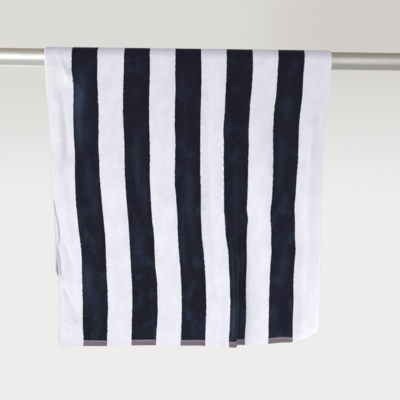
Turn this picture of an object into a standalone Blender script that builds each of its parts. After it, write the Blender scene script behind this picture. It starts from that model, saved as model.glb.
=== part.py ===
"""Striped bath towel hung over a round metal rail.

Metres, Z up. X runs along the rail and the origin is the middle of its centre line. The towel's
front half hangs on the -Y side and its shorter back half on the +Y side.

A place on the cloth is given by two lengths: across, from the left selvedge, and down, from the line
that lies on the crest of the rail. Down is positive in front and negative at the back.
"""

from collections import namedtuple
from math import exp, pi, radians

import bmesh
import bpy
import numpy as np

# Rail
RAIL_RADIUS = 0.0220
RAIL_LENGTH = 1.20
RAIL_SIDES = 64

# Towel, laid flat
WIDTH = 0.70
FRONT_LENGTH = 0.762
BACK_LENGTH = 0.614
HEM_LENGTH = 0.0152
THICKNESS = 0.0030
HEM_THICKNESS = 0.0022
MIDDLE = WIDTH / 2

# How it lies on the rail
CLEARANCE = 0.0009
SKEW = radians(1.45)
WRAP_RADIUS = RAIL_RADIUS + CLEARANCE + THICKNESS / 2
HALF_WRAP = WRAP_RADIUS * pi / 2
FINE_STEPS = 700

# Cells of the cloth's grid: each band ends at this distance across, or down, and has so many cells
Band = namedtuple("Band", "end cells")
COLUMNS = (
    Band(0.0665, 8),
    Band(0.0980, 5),
    Band(0.4445, 20),
    Band(0.5075, 9),
    Band(0.6335, 8),
    Band(WIDTH, 5),
)
ROWS = (
    Band(-BACK_LENGTH + HEM_LENGTH, 1),
    Band(-0.048, 13),
    Band(0.048, 10),
    Band(FRONT_LENGTH - HEM_LENGTH, 22),
    Band(FRONT_LENGTH, 1),
)

# Where the towel's middle line hangs, measured along the rail from the origin
Drift = namedtuple("Drift", "down along")
DRIFTS = (
    Drift(-BACK_LENGTH, 0.008),
    Drift(-0.450, 0.001),
    Drift(-0.300, -0.003),
    Drift(0.000, -0.002),
    Drift(0.200, -0.002),
    Drift(0.320, -0.001),
    Drift(0.400, 0.003),
    Drift(0.450, 0.007),
    Drift(0.500, 0.0105),
    Drift(0.600, 0.017),
    Drift(0.660, 0.018),
    Drift(FRONT_LENGTH, 0.016),
)

# How far the cloth has slipped over the rail to the front, at places across it
Slip = namedtuple("Slip", "across down")
SLIPS = (
    Slip(0.000, 0.000),
    Slip(0.360, 0.000),
    Slip(0.420, 0.002),
    Slip(0.460, 0.006),
    Slip(0.510, 0.009),
    Slip(0.550, 0.0045),
    Slip(0.640, 0.0003),
    Slip(WIDTH, -0.002),
)

# Soft ridges (height over 0) and troughs (under 0). Each runs from one place on the cloth to another,
# and fades out over the fade length at both ends.
Ridge = namedtuple("Ridge", "start_down start_across end_down end_across half_width height fade")
BELL = exp(0.5)
RIDGES = (
    # left edge, from the rail downwards
    Ridge(0.035, 0.036, 0.105, 0.062, 0.011, 0.0060, 0.03),
    Ridge(0.060, 0.010, 0.170, 0.018, 0.009, 0.0035, 0.04),
    Ridge(0.150, 0.026, 0.350, 0.027, 0.010, 0.0030, 0.06),
    Ridge(0.120, 0.050, 0.300, 0.055, 0.009, -0.0015, 0.06),
    Ridge(0.280, 0.022, 0.560, 0.034, 0.010, 0.0045, 0.10),
    Ridge(0.400, 0.012, 0.575, 0.046, 0.008, -0.0045, 0.05),
    Ridge(0.585, 0.004, 0.690, 0.055, 0.008, -0.0025, 0.04),
    # broad waves of the front
    Ridge(0.100, 0.160, 0.900, 0.150, 0.034, 0.0055, 0.20),
    Ridge(0.100, 0.285, 0.900, 0.290, 0.036, 0.0050, 0.20),
    Ridge(0.360, 0.374, 0.540, 0.362, 0.010, 0.0080, 0.06),
    Ridge(0.060, 0.400, 0.860, 0.420, 0.012, -0.0090, 0.12),
    Ridge(0.060, 0.452, 0.480, 0.452, 0.017, 0.0100, 0.12),
    Ridge(0.060, 0.530, 0.900, 0.552, 0.022, 0.0100, 0.20),
    Ridge(0.080, 0.600, 0.900, 0.605, 0.018, -0.0080, 0.20),
    Ridge(0.120, 0.665, 0.860, 0.660, 0.013, 0.0085, 0.12),
    # back
    Ridge(-0.640, 0.080, -0.080, 0.060, 0.026, 0.0100, 0.15),
    Ridge(-0.640, 0.230, -0.080, 0.240, 0.036, 0.0110, 0.15),
    Ridge(-0.800, 0.405, -0.080, 0.400, 0.026, 0.0150, 0.15),
    Ridge(-0.800, 0.500, -0.080, 0.505, 0.020, -0.0035, 0.15),
    Ridge(-0.800, 0.590, -0.080, 0.600, 0.020, 0.0180, 0.15),
)

# A turned strip of the front: between two lines of the cloth it slopes, and so faces more to one side
Lean = namedtuple("Lean", "start_down end_down start_across end_across angle fade ease")
LEANS = (Lean(0.060, 0.310, 0.064, 0.092, radians(17), 0.05, 0.008),)

# The long fold of the front: the cloth steps back by turning through a steep angle over a short width,
# then comes forward again over the return width. The cloth before it leans forward over the lead width.
STEP_START = 0.280
STEP_FULL = 0.620
STEP_ACROSS = 0.4745
STEP_HALF_WIDTH = 0.0132
STEP_ANGLE = radians(80)
STEP_RETURN = 0.20
STEP_LEAD = 0.16
STEP_FORWARD = 0.011
STEP_EASE = 0.05

# A turned selvedge: the cloth bends back over its last few millimetres
Turned = namedtuple("Turned", "side start_down end_down width angle fade")
TURNED = (
    Turned("left", 0.090, 0.900, 0.015, radians(72), 0.08),
    Turned("left", 0.340, 0.620, 0.024, radians(38), 0.08),
    Turned("right", 0.080, 0.740, 0.010, radians(28), 0.10),
)

# A rolled corner: the cloth beyond a line across the corner bends back round a radius
Corner = namedtuple("Corner", "side down along_hem up_selvedge radius")
CORNERS = (
    Corner("right", FRONT_LENGTH, 0.098, 0.046, 0.018),
    Corner("left", -BACK_LENGTH, 0.035, 0.060, 0.016),
)


def smooth(value, low, high):
    """0 below low and 1 above high, with a soft ramp between."""
    t = np.clip((value - low) / (high - low), 0, 1)
    return t * t * (3 - 2 * t)


def fading(down, start, end, fade):
    """1 between start and end, and 0 outside them, with soft ends."""
    return smooth(down, start, start + fade) * (1 - smooth(down, end - fade, end))


def ridge_slope(across, down):
    """The slope of all ridges and troughs. Each one's section is a bell of the stated height."""
    slope = np.zeros_like(across)
    for r in RIDGES:
        share = fading(down, r.start_down, r.end_down, r.fade)
        centre = np.interp(down, (r.start_down, r.end_down), (r.start_across, r.end_across))
        t = (across - centre) / r.half_width
        slope -= share * r.height / (BELL * r.half_width) * t * np.exp(0.5 - t * t / 2)
    return slope


def step_slope(across, down):
    """The slope of the long fold, with its lean forward before the step and its return after it."""
    share = smooth(down, STEP_START, STEP_FULL)
    t = (across - STEP_ACROSS) / STEP_HALF_WIDTH
    step = -STEP_ANGLE / (1 + t**6)
    drop = 2 * STEP_HALF_WIDTH * np.sin(STEP_ANGLE)
    after = STEP_ACROSS + 2 * STEP_HALF_WIDTH
    back = drop / STEP_RETURN * smooth(across, after, after + STEP_EASE)
    before = STEP_ACROSS - 2 * STEP_HALF_WIDTH
    lead = STEP_FORWARD / STEP_LEAD * fading(across, before - STEP_LEAD - STEP_EASE, before, STEP_EASE)
    return share * (step + back + lead)


def lean_slope(across, down):
    """The slope of the turned strips."""
    slope = np.zeros_like(across)
    for s in LEANS:
        share = fading(down, s.start_down, s.end_down, s.fade)
        slope += share * s.angle * fading(across, s.start_across, s.end_across, s.ease)
    return slope


def turned_slope(across, down):
    """The slope of the turned selvedges."""
    slope = np.zeros_like(across)
    for e in TURNED:
        share = fading(down, e.start_down, e.end_down, e.fade)
        left = e.side == "left"
        inward = across if left else WIDTH - across
        bend = share * e.angle * (1 - smooth(inward, 0, e.width))
        slope += bend if left else -bend
    return slope


def section(down, columns):
    """Places along the rail and heights off it, for one level line of the cloth at these columns."""
    across = np.linspace(0, WIDTH, FINE_STEPS + 1)
    angle = ridge_slope(across, down) + step_slope(across, down)
    angle += lean_slope(across, down) + turned_slope(across, down)
    step = WIDTH / FINE_STEPS
    halfway = (angle[1:] + angle[:-1]) / 2
    along = np.concatenate([[0], np.cumsum(np.cos(halfway))]) * step
    height = np.concatenate([[0], np.cumsum(np.sin(halfway))]) * step
    along -= np.interp(MIDDLE, across, along)
    height -= np.interp(MIDDLE, across, height)
    return np.interp(columns, across, along), np.interp(columns, across, height)


def roll_corners(along, down, height):
    """Bends the cloth beyond each corner's line backwards round that corner's radius."""
    left, right = along[0], along[-1]
    for c in CORNERS:
        side, outward = (left, -1) if c.side == "left" else (right, 1)
        out = np.array([c.up_selvedge * outward, c.along_hem * np.sign(c.down)])
        out /= np.hypot(*out)
        depth = c.along_hem * abs(out[0])
        beyond = (along - side) * out[0] + (down - c.down) * out[1] + depth
        beyond = np.maximum(beyond, 0)
        kept = c.radius * np.sin(beyond / c.radius)
        along = along - out[0] * (beyond - kept)
        down = down - out[1] * (beyond - kept)
        height = height - c.radius * (1 - np.cos(beyond / c.radius))
    return along, down, height


def hang(down, columns):
    """Points of the towel's middle surface on one level line, hung over the rail."""
    along, height = section(down, columns)
    slip = np.interp(columns, [s.across for s in SLIPS], [s.down for s in SLIPS])
    along, down, height = roll_corners(along, down, height)
    drift = np.interp(down, [d.down for d in DRIFTS], [d.along for d in DRIFTS])
    x = along * np.cos(SKEW) + drift
    over = down * np.cos(SKEW) - along * np.sin(SKEW) + slip
    turn = np.clip(over, -HALF_WRAP, HALF_WRAP) / WRAP_RADIUS
    radius = WRAP_RADIUS + height
    y = -radius * np.sin(turn)
    z = radius * np.cos(turn) - np.maximum(np.abs(over) - HALF_WRAP, 0)
    return np.stack([x, y, z], axis=-1)


def places(first, bands):
    """The grid's places from first on, band after band."""
    found = [np.array([first])]
    for band in bands:
        found.append(np.linspace(found[-1][-1], band.end, band.cells + 1)[1:])
    return np.concatenate(found)


def material(name, color, roughness, metallic):
    made = bpy.data.materials.new(name)
    made.use_nodes = True
    shader = made.node_tree.nodes["Principled BSDF"]
    shader.inputs["Base Color"].default_value = (*color, 1)
    shader.inputs["Roughness"].default_value = roughness
    shader.inputs["Metallic"].default_value = metallic
    made.diffuse_color = (*color, 1)
    return made


def smooth_shaded(mesh):
    for face in mesh.polygons:
        face.use_smooth = True


def make_rail(collection):
    mesh = bpy.data.meshes.new("rail")
    shape = bmesh.new()
    bmesh.ops.create_cone(
        shape,
        cap_ends=True,
        segments=RAIL_SIDES,
        radius1=RAIL_RADIUS,
        radius2=RAIL_RADIUS,
        depth=RAIL_LENGTH,
    )
    shape.to_mesh(mesh)
    shape.free()
    for face in mesh.polygons:
        face.use_smooth = len(face.vertices) == 4
    rail = bpy.data.objects.new("rail", mesh)
    rail.rotation_euler = (0, pi / 2, 0)
    mesh.materials.append(material("rail_metal", (0.62, 0.62, 0.58), 0.28, 1.0))
    collection.objects.link(rail)


def make_towel(collection):
    columns = places(0, COLUMNS)
    rows = places(-BACK_LENGTH, ROWS)
    mesh = bpy.data.meshes.new("towel")
    shape = bmesh.new()
    bmesh.ops.create_grid(shape, x_segments=len(columns) - 1, y_segments=len(rows) - 1, size=1)
    shape.verts.ensure_lookup_table()
    # the grid's points run from corner to corner, one level line after another
    lines = [hang(down, columns) for down in rows]
    for index, vert in enumerate(shape.verts):
        row, column = divmod(index, len(columns))
        vert.co = lines[row][column]
    shape.to_mesh(mesh)
    shape.free()
    smooth_shaded(mesh)
    towel = bpy.data.objects.new("towel", mesh)
    mesh.materials.append(material("towel_cloth", (0.80, 0.80, 0.86), 0.95, 0.0))
    collection.objects.link(towel)

    body = towel.vertex_groups.new(name="pile")
    pile = []
    for index in range(len(mesh.vertices)):
        down = rows[index // len(columns)]
        if -BACK_LENGTH + HEM_LENGTH / 2 < down < FRONT_LENGTH - HEM_LENGTH / 2:
            pile.append(index)
    body.add(pile, 1.0, "REPLACE")

    shell = towel.modifiers.new("thickness", "SOLIDIFY")
    shell.thickness = THICKNESS
    shell.offset = 0
    shell.use_even_offset = True
    shell.use_rim = True
    shell.vertex_group = "pile"
    shell.thickness_vertex_group = HEM_THICKNESS / THICKNESS


def main():
    for old in list(bpy.data.objects):
        bpy.data.objects.remove(old)
    collection = bpy.data.collections.new("bath_towel_on_rail")
    bpy.context.scene.collection.children.link(collection)
    make_rail(collection)
    make_towel(collection)


main()
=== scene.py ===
from collections import namedtuple
from math import pi, radians

import bpy
import numpy as np
from mathutils import Matrix, Vector


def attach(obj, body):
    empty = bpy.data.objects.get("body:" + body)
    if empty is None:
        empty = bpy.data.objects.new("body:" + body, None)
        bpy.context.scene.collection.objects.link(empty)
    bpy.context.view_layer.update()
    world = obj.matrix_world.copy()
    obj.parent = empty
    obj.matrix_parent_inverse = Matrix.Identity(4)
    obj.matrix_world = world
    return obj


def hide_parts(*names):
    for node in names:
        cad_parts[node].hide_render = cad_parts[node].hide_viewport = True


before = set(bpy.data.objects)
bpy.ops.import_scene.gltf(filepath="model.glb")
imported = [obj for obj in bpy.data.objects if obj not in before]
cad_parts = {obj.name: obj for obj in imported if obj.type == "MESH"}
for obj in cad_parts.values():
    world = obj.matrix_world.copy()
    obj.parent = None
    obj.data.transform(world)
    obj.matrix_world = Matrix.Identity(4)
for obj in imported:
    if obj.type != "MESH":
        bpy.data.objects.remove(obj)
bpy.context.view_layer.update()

# Metres, Z up. X runs along the rail, and the origin is the middle of its centre line. The towel's long
# front half hangs on the -Y side. A place on the cloth is given by two lengths: across, from the left
# selvedge, and down, from the line on the rail's crest, positive in front and negative at the back.


# Camera
# It stands 1.8 m in front of the towel, level with its upper part, tipped slightly down and rolled a little.
CAMERA_PLACE = (0.0305, -1.7765, -0.1485)
CAMERA_TILT = radians(6.5)
CAMERA_ROLL = radians(0.75)
CAMERA_LENS = 63.45

bpy.ops.object.select_all(action="DESELECT")
lens = bpy.data.cameras.new("camera")
lens.lens = CAMERA_LENS
lens.sensor_width = 36
lens.clip_start = 0.05
camera = bpy.data.objects.new("camera", lens)
level = Matrix.Rotation(pi / 2 - CAMERA_TILT, 4, "X")
camera.matrix_world = Matrix.Translation(CAMERA_PLACE) @ level @ Matrix.Rotation(CAMERA_ROLL, 4, "Z")
bpy.context.scene.collection.objects.link(camera)
bpy.context.scene.camera = camera


# Towel
# One length of cotton towelling, sheared to a velour on its face and looped on its reverse, dyed in
# lengthwise stripes. It has a narrow woven selvedge down each side and a flat-woven hem, folded and
# stitched, at each end. It hangs over the rail with its longer part in front.
RAIL_RADIUS = 0.0220
WIDTH = 0.70
FRONT_LENGTH = 0.762
BACK_LENGTH = 0.614
LENGTH = FRONT_LENGTH + BACK_LENGTH
HEM_LENGTH = 0.0152
SELVEDGE_WIDTH = 0.0034
SELVEDGE_FULLNESS = 0.55
THICKNESS = 0.0030
HEM_THICKNESS = 0.0022
MIDDLE = WIDTH / 2
CLEARANCE = 0.0009
SKEW = radians(1.45)
WRAP_RADIUS = RAIL_RADIUS + CLEARANCE + THICKNESS / 2
HALF_WRAP = WRAP_RADIUS * pi / 2
OUTER_STRIPE = 0.0665
STRIPE = 0.063
INNER_STRIPES = 9

# Cells of the cloth's grid: each band ends at this distance across, or down, and has so many cells.
# They are finer where the cloth is creased.
Band = namedtuple("Band", "end cells")
COLUMNS = (
    Band(0.0665, 33),
    Band(0.1295, 13),
    Band(0.1925, 14),
    Band(0.2555, 12),
    Band(0.3185, 13),
    Band(0.3815, 12),
    Band(0.4445, 21),
    Band(0.5075, 28),
    Band(0.5705, 16),
    Band(0.6335, 13),
    Band(WIDTH, 23),
)
ROWS = (
    Band(-BACK_LENGTH + HEM_LENGTH, 4),
    Band(-0.048, 46),
    Band(0.048, 24),
    Band(FRONT_LENGTH - HEM_LENGTH, 158),
    Band(FRONT_LENGTH, 4),
)

# Where the towel's middle line hangs, measured along the rail from the origin
Drift = namedtuple("Drift", "down along")
DRIFTS = (
    Drift(-BACK_LENGTH, 0.008),
    Drift(-0.450, 0.001),
    Drift(-0.300, -0.003),
    Drift(0.000, -0.002),
    Drift(0.200, -0.002),
    Drift(0.320, -0.001),
    Drift(0.400, 0.003),
    Drift(0.450, 0.007),
    Drift(0.500, 0.0105),
    Drift(0.600, 0.017),
    Drift(0.660, 0.018),
    Drift(FRONT_LENGTH, 0.016),
)

# How far the cloth has slipped over the rail to the front, at places across it
Slip = namedtuple("Slip", "across down")
SLIPS = (
    Slip(0.000, 0.000),
    Slip(0.360, 0.000),
    Slip(0.420, 0.002),
    Slip(0.460, 0.006),
    Slip(0.510, 0.009),
    Slip(0.550, 0.0045),
    Slip(0.640, 0.0003),
    Slip(WIDTH, -0.002),
)

# Soft ridges (height over 0) and troughs (under 0). Each runs from one place on the cloth to another,
# and fades out over the fade length at both ends.
Ridge = namedtuple("Ridge", "start_down start_across end_down end_across half_width height fade")
BELL = np.exp(0.5)
RIDGES = (
    # left edge, from the rail downwards
    Ridge(0.035, 0.036, 0.105, 0.062, 0.011, 0.0050, 0.03),
    Ridge(0.060, 0.010, 0.170, 0.018, 0.009, 0.0035, 0.04),
    Ridge(0.150, 0.026, 0.350, 0.027, 0.010, 0.0030, 0.06),
    Ridge(0.120, 0.050, 0.300, 0.055, 0.009, -0.0015, 0.06),
    Ridge(0.280, 0.022, 0.560, 0.034, 0.010, 0.0045, 0.10),
    Ridge(0.400, 0.012, 0.575, 0.046, 0.008, -0.0045, 0.05),
    Ridge(0.585, 0.004, 0.690, 0.055, 0.008, -0.0025, 0.04),
    # broad waves of the front
    Ridge(0.100, 0.160, 0.900, 0.150, 0.034, 0.0055, 0.20),
    Ridge(0.100, 0.285, 0.900, 0.290, 0.036, 0.0050, 0.20),
    Ridge(0.360, 0.374, 0.540, 0.362, 0.010, 0.0080, 0.06),
    Ridge(0.060, 0.400, 0.860, 0.420, 0.012, -0.0090, 0.12),
    Ridge(0.060, 0.452, 0.480, 0.452, 0.017, 0.0100, 0.12),
    Ridge(0.060, 0.530, 0.900, 0.552, 0.022, 0.0100, 0.20),
    Ridge(0.080, 0.600, 0.900, 0.605, 0.018, -0.0080, 0.20),
    Ridge(0.120, 0.665, 0.860, 0.660, 0.013, 0.0085, 0.12),
    # back
    Ridge(-0.640, 0.080, -0.080, 0.060, 0.026, 0.0100, 0.15),
    Ridge(-0.640, 0.230, -0.080, 0.240, 0.036, 0.0110, 0.15),
    Ridge(-0.800, 0.405, -0.080, 0.400, 0.026, 0.0150, 0.15),
    Ridge(-0.800, 0.500, -0.080, 0.505, 0.020, -0.0035, 0.15),
    Ridge(-0.800, 0.590, -0.080, 0.600, 0.020, 0.0180, 0.15),
)

# A turned strip of the front: between two lines of the cloth it slopes, and so faces more to one side
Lean = namedtuple("Lean", "start_down end_down start_across end_across angle fade ease")
LEANS = (Lean(0.060, 0.310, 0.064, 0.092, radians(17), 0.05, 0.008),)

# The long fold of the front: the cloth steps back by turning through a steep angle over a short width,
# then comes forward again over the return width. The cloth before it leans forward over the lead width.
STEP_START = 0.280
STEP_FULL = 0.620
STEP_ACROSS = 0.4745
STEP_HALF_WIDTH = 0.0132
STEP_ANGLE = radians(80)
STEP_RETURN = 0.20
STEP_LEAD = 0.16
STEP_FORWARD = 0.011
STEP_EASE = 0.05

# A turned selvedge: the cloth bends back over its last few millimetres
Turned = namedtuple("Turned", "side start_down end_down width angle fade")
TURNED = (
    Turned("left", 0.090, 0.900, 0.015, radians(72), 0.08),
    Turned("left", 0.340, 0.620, 0.024, radians(38), 0.08),
    Turned("right", 0.080, 0.740, 0.010, radians(14), 0.10),
)

# A rolled corner: the cloth beyond a line across the corner bends back round a radius
Corner = namedtuple("Corner", "side down along_hem up_selvedge radius")
CORNERS = (
    Corner("right", FRONT_LENGTH, 0.098, 0.046, 0.018),
    Corner("left", -BACK_LENGTH, 0.035, 0.060, 0.016),
)

# Creases pressed into the pile where the towel was folded: each follows a line of (across, down) places
# in millimetres, and sinks (depth over 0) or stands proud (under 0), with a soft end at both ends.
Crease = namedtuple("Crease", "line half_width depth")
CREASES = (
    # down the left stripe
    Crease(((25, 20), (31, 44), (37, 61), (49, 89)), 4.6, 1.3),
    Crease(((36, 20), (42, 44), (48, 61), (58, 84)), 6.5, -1.5),
    Crease(((48, 95), (38, 111), (32, 131)), 4.6, 1.5),
    Crease(((40, 133), (43, 164), (44, 180), (51, 200)), 3.8, 1.6),
    Crease(((52, 140), (55, 180), (60, 204)), 5.0, -1.2),
    Crease(((43, 190), (48, 214), (47, 236)), 4.6, 1.5),
    Crease(((30, 130), (34, 170), (34, 212), (27, 286), (20, 330)), 8.5, -2.8),
    Crease(((50, 225), (46, 286)), 6.0, 1.3),
    Crease(((15, 168), (8, 208), (9, 257), (14, 281), (18, 331), (20, 368), (20, 400), (22, 424)), 4.4, 1.9),
    Crease(((15, 225), (20, 281), (26, 331)), 5.0, -0.8),
    Crease(((40, 350), (46, 437), (42, 500)), 10.0, -2.4),
    Crease(((11, 370), (13, 400), (16, 432), (18, 474), (14, 511)), 3.4, 2.0),
    Crease(((13, 500), (13, 540), (15, 616), (20, 660)), 7.0, -1.3),
    Crease(((22, 434), (29, 487), (39, 535), (44, 566)), 6.5, 2.0),
    Crease(((8, 596), (21, 581), (33, 564)), 2.8, 2.0),
    Crease(((12, 596), (22, 614), (34, 642), (49, 676)), 6.0, 1.4),
    Crease(((40, 520), (42, 580), (44, 640), (56, 700)), 10.0, 2.8),
    Crease(((11, 676), (22, 677)), 2.6, 1.3),
    Crease(((40, 692), (52, 699), (60, 708)), 2.8, 1.5),
    Crease(((17, 704), (31, 715), (55, 721)), 4.2, 1.4),
    # second stripe
    Crease(((160, 424), (160, 450)), 2.6, 0.9),
    Crease(((166, 718), (172, 718)), 2.2, 0.7),
    # fourth white stripe
    Crease(((403, 122), (410, 170), (422, 232)), 3.2, 1.6),
    Crease(((424, 412), (440, 460)), 3.0, 1.4),
    Crease(((392, 612), (395, 645)), 3.0, 1.2),
    Crease(((416, 715), (416, 765)), 3.0, 1.1),
    # fifth
    Crease(((541, 148), (555, 164)), 2.6, 1.0),
    Crease(((563, 117), (565, 124)), 2.4, 0.9),
    # down the right stripe
    Crease(((687, 110), (686, 175), (682, 224), (672, 300)), 4.6, 0.9),
    Crease(((686, 540), (678, 590), (668, 626), (656, 655)), 5.0, 1.5),
    Crease(((694, 560), (690, 604), (680, 640), (668, 668)), 5.0, -1.0),
    Crease(((672, 700), (690, 722)), 4.5, 1.4),
    # back
    Crease(((120, -540), (170, -420), (190, -300)), 5.0, 2.0),
    Crease(((520, -560), (500, -430), (508, -320)), 5.0, 2.0),
    Crease(((640, -470), (600, -380), (596, -300)), 4.5, 1.8),
)
CREASE_FADE = 0.012

# Painted shade: lines on the white pile, by the turned left selvedge where it lies in the shade between the
# two halves and along small creases lower down, placed like the creases, and how dark the painted shade is
Shaded = namedtuple("Shaded", "line half_width strength")
SHADED = (
    Shaded(((10, 380), (11, 402), (12, 418), (14, 432), (16, 455), (16, 474), (14, 503)), 1.8, 1.00),
    Shaded(((9, 500), (11, 515), (12, 530), (13, 548), (13, 584)), 2.4, 0.85),
    Shaded(((25, 572), (18, 582), (10, 598)), 1.5, 0.35),
    Shaded(((11, 675), (22, 677)), 1.3, 0.35),
    Shaded(((40, 691), (52, 699), (57, 705)), 1.2, 0.30),
)

# Where the cloth is pulled sideways in its own plane: middle, half sizes and how far
Tug = namedtuple("Tug", "across down half_across half_down along")
TUGS = (
    # by the left selvedge and the first stripe's edges
    Tug(0.000, 0.012, 0.120, 0.050, -0.0036),
    Tug(0.066, 0.062, 0.020, 0.016, -0.0020),
    Tug(0.030, 0.175, 0.055, 0.050, -0.0030),
    Tug(0.030, 0.300, 0.055, 0.060, 0.0040),
    Tug(0.066, 0.530, 0.030, 0.045, 0.0028),
    Tug(0.066, 0.745, 0.030, 0.030, 0.0030),
    Tug(0.130, 0.100, 0.030, 0.040, -0.0024),
    Tug(0.130, 0.440, 0.034, 0.170, 0.0046),
    Tug(0.130, 0.680, 0.030, 0.080, 0.0026),
    # second and third stripes
    Tug(0.192, 0.160, 0.030, 0.110, -0.0024),
    Tug(0.192, 0.450, 0.030, 0.090, 0.0020),
    Tug(0.256, 0.490, 0.030, 0.040, 0.0026),
    Tug(0.256, 0.670, 0.030, 0.090, 0.0026),
    Tug(0.318, 0.350, 0.026, 0.035, -0.0022),
    Tug(0.382, 0.100, 0.028, 0.070, 0.0022),
    Tug(0.382, 0.430, 0.028, 0.070, -0.0016),
    # fourth and fifth
    Tug(0.444, 0.170, 0.028, 0.030, 0.0026),
    Tug(0.508, 0.170, 0.028, 0.030, 0.0026),
    Tug(0.508, 0.428, 0.020, 0.018, 0.0036),
    Tug(0.570, 0.080, 0.030, 0.060, -0.0034),
    Tug(0.570, 0.230, 0.030, 0.060, -0.0026),
    Tug(0.570, 0.440, 0.030, 0.040, -0.0028),
    Tug(0.570, 0.665, 0.030, 0.100, -0.0044),
    Tug(0.634, 0.090, 0.028, 0.035, -0.0024),
    Tug(0.634, 0.170, 0.028, 0.050, 0.0020),
    Tug(0.634, 0.290, 0.028, 0.075, 0.0030),
    Tug(0.634, 0.520, 0.018, 0.022, 0.0010),
)
WANDER = ((0.110, 0.0016), (0.045, 0.0007))

# Slight unevenness of the whole cloth: how far apart the swellings lie, and how high they are
SWELLINGS = ((0.090, 0.0011), (0.034, 0.0005))

# Painted sheen where the navy pile was brushed the other way and catches the light: middle, half sizes and
# strength
BrushedSheen = namedtuple("BrushedSheen", "across down half_across half_down strength")
BRUSHED_SHEEN = (
    BrushedSheen(0.083, 0.132, 0.015, 0.052, 1.50),
    BrushedSheen(0.083, 0.205, 0.012, 0.045, 0.90),
    BrushedSheen(0.100, 0.215, 0.012, 0.030, 0.35),
    BrushedSheen(0.100, 0.330, 0.007, 0.045, 0.40),
    BrushedSheen(0.112, 0.390, 0.010, 0.050, 0.35),
    BrushedSheen(0.080, 0.590, 0.014, 0.060, 0.75),
    BrushedSheen(0.100, 0.640, 0.014, 0.040, 0.35),
    BrushedSheen(0.225, 0.300, 0.007, 0.075, 0.50),
    BrushedSheen(0.240, 0.370, 0.006, 0.050, 0.45),
    BrushedSheen(0.213, 0.500, 0.016, 0.045, 0.35),
    BrushedSheen(0.352, 0.380, 0.012, 0.080, 0.50),
    BrushedSheen(0.330, 0.500, 0.009, 0.050, 0.45),
    BrushedSheen(0.350, 0.710, 0.008, 0.020, 0.45),
    BrushedSheen(0.476, 0.380, 0.010, 0.080, 0.40),
    BrushedSheen(0.454, 0.560, 0.003, 0.060, 0.60),
    BrushedSheen(0.454, 0.690, 0.007, 0.060, 0.95),
    BrushedSheen(0.496, 0.560, 0.004, 0.050, 0.50),
    BrushedSheen(0.499, 0.700, 0.007, 0.050, 0.70),
    BrushedSheen(0.590, 0.300, 0.010, 0.080, 0.40),
    BrushedSheen(0.605, 0.560, 0.012, 0.060, 0.45),
    BrushedSheen(0.585, 0.690, 0.010, 0.040, 0.35),
)


def smooth(value, low, high):
    """0 below low and 1 above high, with a soft ramp between."""
    t = np.clip((value - low) / (high - low), 0, 1)
    return t * t * (3 - 2 * t)


def fading(down, start, end, fade):
    """1 between start and end, and 0 outside them, with soft ends."""
    return smooth(down, start, start + fade) * (1 - smooth(down, end - fade, end))


def ridge_slope(across, down):
    """The slope of all ridges and troughs. Each one's section is a bell of the stated height."""
    slope = np.zeros_like(across)
    for r in RIDGES:
        share = fading(down, r.start_down, r.end_down, r.fade)
        centre = np.interp(down, (r.start_down, r.end_down), (r.start_across, r.end_across))
        t = (across - centre) / r.half_width
        slope -= share * r.height / (BELL * r.half_width) * t * np.exp(0.5 - t * t / 2)
    return slope


def step_slope(across, down):
    """The slope of the long fold, with its lean forward before the step and its return after it."""
    share = smooth(down, STEP_START, STEP_FULL)
    t = (across - STEP_ACROSS) / STEP_HALF_WIDTH
    step = -STEP_ANGLE / (1 + t**6)
    drop = 2 * STEP_HALF_WIDTH * np.sin(STEP_ANGLE)
    after = STEP_ACROSS + 2 * STEP_HALF_WIDTH
    back = drop / STEP_RETURN * smooth(across, after, after + STEP_EASE)
    before = STEP_ACROSS - 2 * STEP_HALF_WIDTH
    lead = STEP_FORWARD / STEP_LEAD * fading(across, before - STEP_LEAD - STEP_EASE, before, STEP_EASE)
    return share * (step + back + lead)


def lean_slope(across, down):
    """The slope of the turned strips."""
    slope = np.zeros_like(across)
    for s in LEANS:
        share = fading(down, s.start_down, s.end_down, s.fade)
        slope += share * s.angle * fading(across, s.start_across, s.end_across, s.ease)
    return slope


def turned_slope(across, down):
    """The slope of the turned selvedges."""
    slope = np.zeros_like(across)
    for e in TURNED:
        share = fading(down, e.start_down, e.end_down, e.fade)
        left = e.side == "left"
        inward = across if left else WIDTH - across
        bend = share * e.angle * (1 - smooth(inward, 0, e.width))
        slope += bend if left else -bend
    return slope


def section(down, columns):
    """Places along the rail and heights off it, for one level line of the cloth at these columns."""
    across = np.linspace(0, WIDTH, 701)
    angle = ridge_slope(across, down) + step_slope(across, down)
    angle += lean_slope(across, down) + turned_slope(across, down)
    step = across[1]
    halfway = (angle[1:] + angle[:-1]) / 2
    along = np.concatenate([[0], np.cumsum(np.cos(halfway))]) * step
    height = np.concatenate([[0], np.cumsum(np.sin(halfway))]) * step
    along -= np.interp(MIDDLE, across, along)
    height -= np.interp(MIDDLE, across, height)
    return np.interp(columns, across, along), np.interp(columns, across, height)


def roll_corners(along, down, height):
    """Bends the cloth beyond each corner's line backwards round that corner's radius."""
    left, right = along[0], along[-1]
    for c in CORNERS:
        side, outward = (left, -1) if c.side == "left" else (right, 1)
        out = np.array([c.up_selvedge * outward, c.along_hem * np.sign(c.down)])
        out /= np.hypot(*out)
        depth = c.along_hem * abs(out[0])
        beyond = (along - side) * out[0] + (down - c.down) * out[1] + depth
        beyond = np.maximum(beyond, 0)
        kept = c.radius * np.sin(beyond / c.radius)
        along = along - out[0] * (beyond - kept)
        down = down - out[1] * (beyond - kept)
        height = height - c.radius * (1 - np.cos(beyond / c.radius))
    return along, down, height


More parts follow.
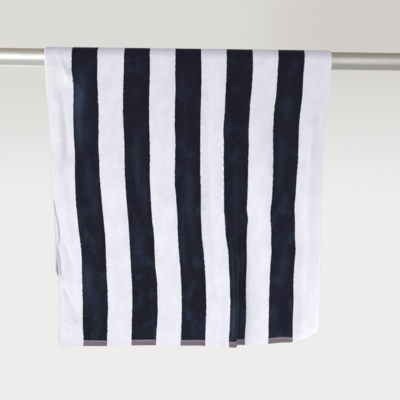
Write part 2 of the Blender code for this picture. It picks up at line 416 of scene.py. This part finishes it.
def tugged(across, down):
    """How far the cloth is pulled along the rail at these places."""
    along = np.zeros_like(across)
    for t in TUGS:
        reach = ((across - t.across) / t.half_across) ** 2 + ((down - t.down) / t.half_down) ** 2
        along += t.along * np.exp(-reach)
    for seed, (apart, wander) in enumerate(WANDER):
        inside = smooth(across, 0.0, 0.05) * (1 - smooth(across, WIDTH - 0.05, WIDTH))
        along += inside * swelling(across, down, apart, wander, seed + 10)
    return along


def pressed(crease, across, down):
    """How far into this crease these places lie, from 0 outside it to 1 along its line."""
    line = np.array(crease.line) / 1000
    lengths = np.hypot(*np.diff(line, axis=0).T)
    starts = np.concatenate([[0], np.cumsum(lengths)])
    nearest = np.full_like(across, np.inf)
    run = np.zeros_like(across)
    for (a, b, start, length) in zip(line[:-1], line[1:], starts, lengths):
        way = (b - a) / length
        offset = (across - a[0], down - a[1])
        t = np.clip(offset[0] * way[0] + offset[1] * way[1], 0, length)
        gap = np.hypot(offset[0] - t * way[0], offset[1] - t * way[1])
        run = np.where(gap < nearest, start + t, run)
        nearest = np.minimum(gap, nearest)
    fade = min(CREASE_FADE, starts[-1] / 2)
    share = np.clip(run / fade, 0, 1) * np.clip((starts[-1] - run) / fade, 0, 1)
    return (0.15 + 0.85 * share) * np.exp(-((nearest / crease.half_width * 1000) ** 2))


def swelling(across, down, apart, height, seed):
    """Smooth random swellings that lie so far apart."""
    random = np.random.RandomState(seed)
    columns, rows = int(WIDTH / apart) + 4, int(LENGTH / apart) + 4
    bumps = random.uniform(-1, 1, (rows, columns))
    x, y = across / apart + 1, (down + BACK_LENGTH) / apart + 1
    column, row = x.astype(int), y.astype(int)
    u, v = smooth(x - column, 0, 1), smooth(y - row, 0, 1)
    upper = bumps[row, column] * (1 - u) + bumps[row, column + 1] * u
    lower = bumps[row + 1, column] * (1 - u) + bumps[row + 1, column + 1] * u
    return height * (upper * (1 - v) + lower * v)


def hang(down, columns):
    """Points of the towel's middle surface on one level line, hung over the rail."""
    along, height = section(down, columns)
    slip = np.interp(columns, [s.across for s in SLIPS], [s.down for s in SLIPS])
    downs = np.full_like(columns, down)
    along = along + tugged(columns, downs)
    off_rail = smooth(np.abs(downs), 0.030, 0.110)
    for crease in CREASES:
        height = height - crease.depth / 1000 * pressed(crease, columns, downs)
    for seed, (apart, swell) in enumerate(SWELLINGS):
        height += off_rail * swelling(columns, downs, apart, swell, seed)
    along, downs, height = roll_corners(along, downs, height)
    drift = np.interp(downs, [d.down for d in DRIFTS], [d.along for d in DRIFTS])
    x = along * np.cos(SKEW) + drift
    over = downs * np.cos(SKEW) - along * np.sin(SKEW) + slip
    turn = np.clip(over, -HALF_WRAP, HALF_WRAP) / WRAP_RADIUS
    radius = WRAP_RADIUS + height
    y = -radius * np.sin(turn)
    z = radius * np.cos(turn) - np.maximum(np.abs(over) - HALF_WRAP, 0)
    return np.stack([x, y, z], axis=-1)


def places(first, bands):
    """The grid's places from first on, band after band."""
    found = [np.array([first])]
    for band in bands:
        found.append(np.linspace(found[-1][-1], band.end, band.cells + 1)[1:])
    return np.concatenate(found)


# the cloth's middle surface, then its thickness, less at the woven hems and selvedges than in the pile
columns, rows = places(0, COLUMNS), places(-BACK_LENGTH, ROWS)
points = np.concatenate([hang(down, columns) for down in rows])
across, down = (a.ravel() for a in np.meshgrid(columns, rows))
corner = np.arange(len(points)).reshape(len(rows), -1)
quads = np.stack([corner[:-1, :-1], corner[1:, :-1], corner[1:, 1:], corner[:-1, 1:]], -1).reshape(-1, 4)

cloth = bpy.data.meshes.new("striped_towel")
cloth.from_pydata(points.tolist(), [], quads.tolist())
laid_flat = cloth.uv_layers.new(name="laid_flat")
corners = np.array([loop.vertex_index for loop in cloth.loops])
flat_places = np.stack([across, down + BACK_LENGTH], -1)[corners]
laid_flat.data.foreach_set("uv", flat_places.ravel().astype(np.float32))

brushed_sheen = np.zeros_like(across)
for b in BRUSHED_SHEEN:
    reach = ((across - b.across) / b.half_across) ** 2 + ((down - b.down) / b.half_down) ** 2
    brushed_sheen = np.maximum(brushed_sheen, b.strength * np.exp(-reach))
cloth.attributes.new("brushed_sheen", "FLOAT", "POINT").data.foreach_set("value", brushed_sheen)
# painted shade: how dark each point of the white pile is painted along the shaded lines
shaded = np.zeros_like(across)
for line in SHADED:
    shaded = np.maximum(shaded, line.strength * pressed(line, across, down))
cloth.attributes.new("shaded", "FLOAT", "POINT").data.foreach_set("value", shaded)
cloth.polygons.foreach_set("use_smooth", np.ones(len(quads), bool))

towel = bpy.data.objects.new("striped_towel", cloth)
bpy.context.scene.collection.objects.link(towel)

from_end = np.minimum(down + BACK_LENGTH, FRONT_LENGTH - down)
from_side = np.minimum(across, WIDTH - across)
full = smooth(from_end, HEM_LENGTH - 0.003, HEM_LENGTH + 0.001)
in_pile = smooth(from_side, SELVEDGE_WIDTH - 0.002, SELVEDGE_WIDTH + 0.002)
full *= SELVEDGE_FULLNESS + (1 - SELVEDGE_FULLNESS) * in_pile
pile = towel.vertex_groups.new(name="pile")
for index, weight in enumerate(full):
    pile.add([index], float(weight), "REPLACE")

shell = towel.modifiers.new("thickness", "SOLIDIFY")
shell.thickness = THICKNESS
shell.offset = 0
shell.use_even_offset = True
shell.use_rim = True
shell.vertex_group = "pile"
shell.thickness_vertex_group = HEM_THICKNESS / THICKNESS
shell.material_offset = 1
bpy.context.view_layer.objects.active = towel
bpy.ops.object.modifier_apply(modifier="thickness")


def linked(tree, kind, inputs=(), **settings):
    """A node with these settings, its inputs given by a value or by the socket that feeds them."""
    node = tree.nodes.new(kind)
    for name, value in settings.items():
        setattr(node, name, value)
    for key, value in dict(inputs).items():
        if isinstance(value, bpy.types.NodeSocket):
            tree.links.new(value, node.inputs[key])
        else:
            node.inputs[key].default_value = value
    return node


def math(tree, operation, first, second=0.0):
    return linked(tree, "ShaderNodeMath", {0: first, 1: second}, operation=operation).outputs[0]


def ramp(tree, value, low, high, start=0.0, end=1.0):
    """A soft ramp from start to end as the value goes from low to high."""
    inputs = {"Value": value, "From Min": low, "From Max": high, "To Min": start, "To Max": end}
    return linked(tree, "ShaderNodeMapRange", inputs, interpolation_type="SMOOTHSTEP").outputs[0]


def mixed(tree, share, first, second):
    """The first colour where the share is 0 and the second where it is 1."""
    inputs = {0: share, 6: first, 7: second}
    return linked(tree, "ShaderNodeMix", inputs, data_type="RGBA").outputs[2]


def noise(tree, place, scale, detail=2.0, roughness=0.5):
    inputs = {"Vector": place, "Scale": scale, "Detail": detail, "Roughness": roughness}
    return linked(tree, "ShaderNodeTexNoise", inputs).outputs["Fac"]


def stretched(tree, place, sizes):
    return linked(tree, "ShaderNodeMapping", {"Vector": place, "Scale": sizes}).outputs[0]


def group(name, inputs, outputs):
    """A new node group with these sockets, and its input and output nodes."""
    made = bpy.data.node_groups.new(name, "ShaderNodeTree")
    for socket, kind in inputs.items():
        made.interface.new_socket(socket, in_out="INPUT", socket_type="NodeSocket" + kind)
    for socket, kind in outputs.items():
        made.interface.new_socket(socket, in_out="OUTPUT", socket_type="NodeSocket" + kind)
    return made, made.nodes.new("NodeGroupInput").outputs, made.nodes.new("NodeGroupOutput").inputs


def placed(tree, made, inputs):
    return linked(tree, "ShaderNodeGroup", inputs, node_tree=made).outputs


# where the navy stripes, the hems and the selvedges are, by the place on the flat cloth in metres
layout, given, gives = group(
    "towel_layout",
    {"Place": "Vector", "Fray": "Float"},
    {"Navy": "Float", "Hem": "Float", "Selvedge": "Float", "From End": "Float"},
)
parts = linked(layout, "ShaderNodeSeparateXYZ", {0: given["Place"]}).outputs
fuzz = math(layout, "SUBTRACT", noise(layout, given["Place"], 150.0, 2.0, 0.6), 0.5)
frayed = math(layout, "MULTIPLY_ADD", fuzz, given["Fray"])
layout.links.new(parts[0], frayed.node.inputs[2])
count = math(layout, "DIVIDE", math(layout, "SUBTRACT", frayed, OUTER_STRIPE), STRIPE)
count = math(layout, "MINIMUM", math(layout, "MAXIMUM", count, -0.5), INNER_STRIPES + 0.5)
wave = math(layout, "PINGPONG", math(layout, "SUBTRACT", count, 0.5), 1.0)
layout.links.new(ramp(layout, wave, 0.498, 0.502, 1.0, 0.0), gives["Navy"])
end = math(layout, "MINIMUM", parts[1], math(layout, "SUBTRACT", LENGTH, parts[1]))
side = math(layout, "MINIMUM", parts[0], math(layout, "SUBTRACT", WIDTH, parts[0]))
layout.links.new(ramp(layout, end, HEM_LENGTH - 0.0003, HEM_LENGTH + 0.0003, 1.0, 0.0), gives["Hem"])
layout.links.new(ramp(layout, side, SELVEDGE_WIDTH - 0.0006, SELVEDGE_WIDTH, 1.0, 0.0), gives["Selvedge"])
layout.links.new(end, gives["From End"])

# sheared or looped pile: fine tufts, and wider patches where it leans together
tufts, given, gives = group(
    "towel_pile", {"Place": "Vector", "Tuft": "Float"}, {"Height": "Float", "Lean": "Float", "Fleck": "Float"}
)
often = math(tufts, "DIVIDE", 1.0, given["Tuft"])
cells = linked(
    tufts, "ShaderNodeTexVoronoi", {"Vector": given["Place"], "Scale": often, "Randomness": 0.9}
).outputs["Distance"]
fine = noise(tufts, given["Place"], 1100.0, 3.0, 0.6)
raised = math(tufts, "MULTIPLY_ADD", math(tufts, "SUBTRACT", 1.0, cells), 0.6)
tufts.links.new(math(tufts, "MULTIPLY", fine, 0.5), raised.node.inputs[2])
tufts.links.new(raised, gives["Height"])
combed = stretched(tufts, given["Place"], (1.0, 0.55, 1.0))
lean = math(tufts, "MULTIPLY_ADD", noise(tufts, combed, 34.0, 4.0, 0.6), 0.72)
tufts.links.new(math(tufts, "MULTIPLY", noise(tufts, combed, 240.0, 3.0, 0.65), 0.28), lean.node.inputs[2])
tufts.links.new(lean, gives["Lean"])
spots = linked(tufts, "ShaderNodeTexVoronoi", {"Vector": given["Place"], "Scale": 190.0}).outputs
chosen = linked(tufts, "ShaderNodeSeparateColor", {0: spots["Color"]}).outputs[0]
near = ramp(tufts, spots["Distance"], 0.18, 0.34, 1.0, 0.0)
few = ramp(tufts, chosen, 0.94, 0.96)
tufts.links.new(math(tufts, "MULTIPLY", near, few), gives["Fleck"])

# the hem's flat weave: crossing threads, and a row of stitches near the pile
WARP_PITCH = 0.0011
WEFT_PITCH = 0.0009
STITCH_PITCH = 0.0032
STITCH_INSET = 0.0028
weave, given, gives = group(
    "hem_weave", {"Place": "Vector", "From End": "Float"}, {"Height": "Float", "Stitch": "Float"}
)
parts = linked(weave, "ShaderNodeSeparateXYZ", {0: given["Place"]}).outputs
warp = math(weave, "SINE", math(weave, "MULTIPLY", parts[0], 2 * pi / WARP_PITCH))
weft = math(weave, "SINE", math(weave, "MULTIPLY", parts[1], 2 * pi / WEFT_PITCH))
crossed = math(weave, "MULTIPLY_ADD", math(weave, "MULTIPLY", warp, weft), 0.25)
crossed.node.inputs[2].default_value = 0.5
row = math(weave, "ABSOLUTE", math(weave, "SUBTRACT", given["From End"], HEM_LENGTH - STITCH_INSET))
line = ramp(weave, row, 0.0004, 0.0009, 1.0, 0.0)
dash = math(weave, "SINE", math(weave, "MULTIPLY", parts[0], 2 * pi / STITCH_PITCH))
stitch = math(weave, "MULTIPLY", line, ramp(weave, dash, -0.75, -0.35))
weave.links.new(math(weave, "MULTIPLY_ADD", stitch, 0.5), gives["Height"])
weave.links.new(crossed, gives["Height"].links[0].from_node.inputs[2])
weave.links.new(stitch, gives["Stitch"])


# Colours that the face and the reverse share: each pair is the low and the high parts of the threads, the low
# parts darker as painted shade, and the stitches' pair is on white and on navy. The fray is how far the
# stripes' edges stray.
# the dark grey of the painted shade lines on the white pile
PAINTED_SHADE_GREY = (0.34, 0.33, 0.39, 1)
# the near black of the painted shade in the hollows between the navy tufts
NAVY_HOLLOW_SHADE = (0.004, 0.004, 0.008, 1)
MAUVE = ((0.150, 0.124, 0.157, 1), (0.223, 0.187, 0.226, 1))
PLAIN = ((0.77, 0.765, 0.82, 1), (0.84, 0.835, 0.89, 1))
STITCHES = ((0.76, 0.755, 0.81, 1), (0.36, 0.33, 0.38, 1))
SELVEDGE = (0.96, 0.95, 0.97, 1)
FRAY = 0.0042


def towelling(name, tuft, depth, white, white_low, navy, navy_sheen):
    """Striped towelling with tufts of this size and pile of this depth."""
    made = bpy.data.materials.new(name)
    made.use_nodes = True
    tree = made.node_tree
    shader = tree.nodes["Principled BSDF"]
    place = linked(tree, "ShaderNodeUVMap", uv_map="laid_flat").outputs[0]
    where = placed(tree, layout, {"Place": place, "Fray": FRAY})
    surface = placed(tree, tufts, {"Place": place, "Tuft": tuft})
    hem = placed(tree, weave, {"Place": place, "From End": where["From End"]})

    # painted sheen: where the navy pile lies the other way it takes the lighter sheen colour, in patches and
    # a few flecks
    brushed_sheen = linked(tree, "ShaderNodeAttribute", attribute_name="brushed_sheen").outputs["Fac"]
    patch = math(tree, "MULTIPLY", brushed_sheen, ramp(tree, surface["Lean"], 0.30, 0.60, 0.25, 1.0))
    # more painted sheen lower down, where the pile is more ruffled, than near the rail
    along = linked(tree, "ShaderNodeSeparateXYZ", {0: place}).outputs[1]
    ruffled_sheen = ramp(tree, along, BACK_LENGTH + 0.10, BACK_LENGTH + 0.40, 0.26, 0.56)
    ruffled_sheen = math(tree, "MULTIPLY", ruffled_sheen, ramp(tree, surface["Lean"], 0.47, 0.70))
    patch = math(tree, "MAXIMUM", patch, ruffled_sheen)
    patch = math(tree, "MAXIMUM", patch, math(tree, "MULTIPLY", surface["Fleck"], 0.9))
    dark = mixed(tree, patch, navy, navy_sheen)
    # painted shade: where the tufts are low the navy darkens towards near black
    dark = mixed(tree, ramp(tree, surface["Height"], 0.25, 0.65, 0.35, 0.0), dark, NAVY_HOLLOW_SHADE)
    light = mixed(tree, ramp(tree, surface["Lean"], 0.35, 0.65, 0.7, 0.0), white, white_low)
    # painted shade: where the tufts are low the white takes its lower tone
    light = mixed(tree, ramp(tree, surface["Height"], 0.25, 0.60, 0.55, 0.0), light, white_low)
    # painted shade: along the shaded lines the white pile turns to the painted shade grey
    shaded = linked(tree, "ShaderNodeAttribute", attribute_name="shaded").outputs["Fac"]
    light = mixed(tree, shaded, light, PAINTED_SHADE_GREY)
    pile_color = mixed(tree, where["Navy"], light, dark)

    # painted shade: the low parts of the hem's threads take the darker colour of each pair
    thread = ramp(tree, hem["Height"], 0.3, 0.7)
    mauve = mixed(tree, thread, *MAUVE)
    plain = mixed(tree, thread, *PLAIN)
    hem_color = mixed(tree, where["Navy"], plain, mauve)
    sewn = mixed(tree, where["Navy"], *STITCHES)
    hem_color = mixed(tree, hem["Stitch"], hem_color, sewn)
    color = mixed(tree, where["Hem"], pile_color, hem_color)
    color = mixed(tree, where["Selvedge"], color, SELVEDGE)
    tree.links.new(color, shader.inputs["Base Color"])

    flat = math(tree, "MAXIMUM", where["Hem"], where["Selvedge"])
    height = linked(tree, "ShaderNodeMix", {0: flat, 2: surface["Height"], 3: hem["Height"]}).outputs[0]
    bump = linked(tree, "ShaderNodeBump", {"Strength": 0.55, "Distance": depth, "Height": height})
    tree.links.new(bump.outputs[0], shader.inputs["Normal"])
    tree.links.new(ramp(tree, flat, 0.0, 1.0, 0.95, 0.75), shader.inputs["Roughness"])
    shader.inputs["Specular IOR Level"].default_value = 0.12
    shader.inputs["Sheen Weight"].default_value = 0.06
    shader.inputs["Sheen Roughness"].default_value = 0.4
    shader.inputs["Sheen Tint"].default_value = (0.80, 0.84, 1.0, 1)
    made.diffuse_color = white
    return made


cloth.materials.append(
    towelling(
        "towel_velour",
        tuft=0.0013,
        depth=0.0007,
        white=(0.834, 0.834, 0.888, 1),
        white_low=(0.738, 0.737, 0.796, 1),
        navy=(0.0125, 0.0130, 0.0240, 1),
        navy_sheen=(0.0360, 0.0520, 0.0860, 1),
    )
)
cloth.materials.append(
    towelling(
        "towel_loops",
        tuft=0.0020,
        depth=0.0011,
        white=(0.815, 0.810, 0.865, 1),
        white_low=(0.660, 0.655, 0.720, 1),
        navy=(0.0130, 0.0150, 0.0265, 1),
        navy_sheen=(0.0260, 0.0330, 0.0540, 1),
    )
)

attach(towel, "root")
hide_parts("towel")


# Rail
# A round tube of satin-drawn metal, 44 mm thick, its ends closed flush with flat discs. The towel hangs
# over its middle, and it runs on straight past both sides, where it is held.
RAIL_LENGTH = 1.20
RAIL_SIDES = 96
RAIL_EDGE = 0.0008

bpy.ops.object.select_all(action="DESELECT")
bpy.ops.mesh.primitive_cylinder_add(
    vertices=RAIL_SIDES, radius=RAIL_RADIUS, depth=RAIL_LENGTH, rotation=(0, pi / 2, 0)
)
rail = bpy.context.object
rail.name = rail.data.name = "round_rail"
bpy.ops.object.transform_apply(location=True, rotation=True, scale=True)

# the rims of the end faces are eased
bpy.ops.object.mode_set(mode="EDIT")
bpy.ops.mesh.select_mode(type="FACE")
bpy.ops.mesh.select_all(action="DESELECT")
bpy.ops.object.mode_set(mode="OBJECT")
for face in rail.data.polygons:
    face.select = abs(face.normal.x) > 0.9
bpy.ops.object.mode_set(mode="EDIT")
bpy.ops.mesh.region_to_loop()
bpy.ops.mesh.bevel(offset=RAIL_EDGE, segments=3, affect="EDGES")
bpy.ops.object.mode_set(mode="OBJECT")
bpy.ops.object.shade_smooth_by_angle(angle=radians(40))

metal = bpy.data.materials.new("satin_metal")
metal.use_nodes = True
tree = metal.node_tree
shader = tree.nodes["Principled BSDF"]
place = linked(tree, "ShaderNodeTexCoord").outputs["Object"]
drawn = noise(tree, stretched(tree, place, (0.6, 60.0, 60.0)), 45.0, 4.0, 0.6)
clouds = noise(tree, stretched(tree, place, (1.0, 3.0, 3.0)), 12.0, 4.0, 0.6)
color = mixed(tree, ramp(tree, drawn, 0.3, 0.7), (0.60, 0.60, 0.57, 1), (0.70, 0.70, 0.67, 1))
color = mixed(tree, ramp(tree, clouds, 0.45, 0.75, 0.0, 0.35), color, (0.52, 0.51, 0.47, 1))
tree.links.new(color, shader.inputs["Base Color"])
rough = math(tree, "MULTIPLY_ADD", drawn, 0.12)
tree.links.new(ramp(tree, clouds, 0.35, 0.75, 0.14, 0.22), rough.node.inputs[2])
tree.links.new(rough, shader.inputs["Roughness"])
lines = linked(tree, "ShaderNodeBump", {"Strength": 0.15, "Distance": 0.0001, "Height": drawn})
tree.links.new(lines.outputs[0], shader.inputs["Normal"])
shader.inputs["Metallic"].default_value = 1.0
metal.diffuse_color = (0.62, 0.62, 0.58, 1)
rail.data.materials.append(metal)

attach(rail, "root")
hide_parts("rail")


# Studio
# A plain pale floor and broad soft light, strongest from the left in front and weak from above. A lamp's
# spread is the full angle of its cone in degrees.
FLOOR_HEIGHT = -2.10
FLOOR_BACK = 2.40
FLOOR_WIDTH = 12.0
FLOOR_DEPTH = 12.0
FLOOR_GLOW = 0.21
FLOOR_GLOW_SEEN = 0.37

bpy.ops.object.select_all(action="DESELECT")
bpy.ops.mesh.primitive_plane_add(size=1, location=(0, 0, FLOOR_HEIGHT))
floor = bpy.context.object
floor.name = floor.data.name = "floor"
floor.data.transform(Matrix.Diagonal((FLOOR_WIDTH, FLOOR_DEPTH, 1.0, 1.0)))
bpy.ops.object.transform_apply(location=True, rotation=True, scale=True)
floor.data.transform(Matrix.Translation((0, FLOOR_BACK - FLOOR_DEPTH / 2, 0)))
paint = bpy.data.materials.new("pale_floor")
paint.use_nodes = True
tree = paint.node_tree
grain = noise(tree, linked(tree, "ShaderNodeTexCoord").outputs["Object"], 3.0, 3.0, 0.5)
color = mixed(tree, grain, (0.87, 0.87, 0.86, 1), (0.90, 0.90, 0.89, 1))
shader = tree.nodes["Principled BSDF"]
tree.links.new(color, shader.inputs["Base Color"])
shader.inputs["Roughness"].default_value = 0.8
# it glows a little, more to the camera, so that it is as pale as the backdrop beyond its edges
shader.inputs["Emission Color"].default_value = (1.00, 0.99, 0.97, 1)
seen = linked(tree, "ShaderNodeLightPath").outputs["Is Camera Ray"]
glow = ramp(tree, seen, 0.0, 1.0, FLOOR_GLOW, FLOOR_GLOW_SEEN)
tree.links.new(glow, shader.inputs["Emission Strength"])
floor.data.materials.append(paint)
floor.visible_glossy = False

sky = bpy.data.worlds.new("studio")
bpy.context.scene.world = sky
sky.use_nodes = True
tree = sky.node_tree
looking = linked(tree, "ShaderNodeTexCoord").outputs["Generated"]
to_right, to_back, upward = linked(tree, "ShaderNodeSeparateXYZ", {0: looking}).outputs
ray = linked(tree, "ShaderNodeLightPath").outputs
# what the camera sees: a pale tone, lighter low down and dimmer at the upper right
LOW_TONE = (0.855, 0.845, 0.830, 1)
HIGH_TONE = (0.715, 0.703, 0.680, 1)
DIM_TONE = (0.640, 0.618, 0.588, 1)
backdrop = mixed(tree, ramp(tree, upward, -0.12, 0.06), LOW_TONE, HIGH_TONE)
dim = math(tree, "MULTIPLY", ramp(tree, to_right, 0.02, 0.18), ramp(tree, upward, 0.03, 0.10))
dim = math(tree, "MULTIPLY", dim, ramp(tree, to_back, 0.60, 0.95))
backdrop = mixed(tree, dim, backdrop, DIM_TONE)
# what the cloth is lit by: a dim dome, dimmer above in front and brighter above behind
BELOW = (0.72, 0.72, 0.73, 1)
ABOVE = (0.17, 0.16, 0.20, 1)
BEHIND = (1.00, 1.00, 1.00, 1)
dome = mixed(tree, ramp(tree, upward, -0.60, 0.50), BELOW, ABOVE)
behind = math(tree, "MULTIPLY", ramp(tree, to_back, 0.0, 0.5), ramp(tree, upward, 0.0, 0.5))
dome = mixed(tree, behind, dome, BEHIND)
# what the metal mirrors: a bright band level in front, olive above it and grey below, dimmer to the right
# and plain past both ends
BAND = (1.70, 1.69, 1.74, 1)
OLIVE = (0.62, 0.60, 0.52, 1)
GREY = (0.80, 0.79, 0.79, 1)
BROWN = (0.50, 0.45, 0.38, 1)
DIM_SIDE = (0.25, 0.23, 0.19, 1)
PAST_ENDS = (0.60, 0.59, 0.57, 1)
room = mixed(tree, ramp(tree, upward, 0.15, 0.92), BAND, OLIVE)
room = mixed(tree, ramp(tree, upward, -0.80, -0.15, 1.0, 0.0), room, GREY)
behind = math(tree, "MULTIPLY", ramp(tree, to_back, -0.3, 0.25), ramp(tree, upward, 0.02, 0.40))
room = mixed(tree, behind, room, BROWN)
room = mixed(tree, ramp(tree, to_right, -0.20, 0.16, 0.0, 0.50), room, DIM_SIDE)
past_ends = ramp(tree, math(tree, "ABSOLUTE", to_right), 0.45, 0.80)
room = mixed(tree, past_ends, room, PAST_ENDS)
color = mixed(tree, ray["Is Glossy Ray"], dome, room)
color = mixed(tree, ray["Is Camera Ray"], color, backdrop)
background = tree.nodes["Background"]
tree.links.new(color, background.inputs["Color"])
background.inputs["Strength"].default_value = 1.0

Lamp = namedtuple("Lamp", "name place aim width height spread power color")
LAMPS = (
    Lamp("key", (-1.70, -1.50, -0.34), (0.0, 0.0, -0.38), 0.9, 0.9, 120, 10.3, (1.0, 0.985, 0.962)),
    Lamp("fill", (1.3, -2.0, -1.15), (0.05, 0.0, -0.60), 0.9, 0.9, 100, 6.3, (0.98, 0.985, 1.0)),
    Lamp("top", (0.0, -0.2, 1.5), (0.0, 0.0, 0.0), 1.0, 0.8, 180, 4.8, (1.0, 0.95, 1.0)),
    Lamp("low", (0.75, -0.6, -1.15), (0.25, 0.0, -0.60), 0.5, 0.5, 180, 2.2, (1.0, 0.99, 0.985)),
    Lamp("rim", (0.3, 1.8, 0.2), (0.0, 0.0, -0.30), 1.6, 1.2, 180, 16.0, (1.0, 0.99, 0.97)),
)
for lamp in LAMPS:
    light = bpy.data.lights.new(lamp.name, "AREA")
    light.shape = "RECTANGLE"
    light.size = lamp.width
    light.size_y = lamp.height
    light.energy = lamp.power
    light.spread = radians(lamp.spread)
    light.color = lamp.color
    lit = bpy.data.objects.new(lamp.name, light)
    toward = Vector(lamp.aim) - Vector(lamp.place)
    lit.matrix_world = Matrix.Translation(lamp.place) @ toward.to_track_quat("-Z", "Y").to_matrix().to_4x4()
    lit.visible_glossy = False
    bpy.context.scene.collection.objects.link(lit)

bpy.context.scene.view_settings.view_transform = "Standard"
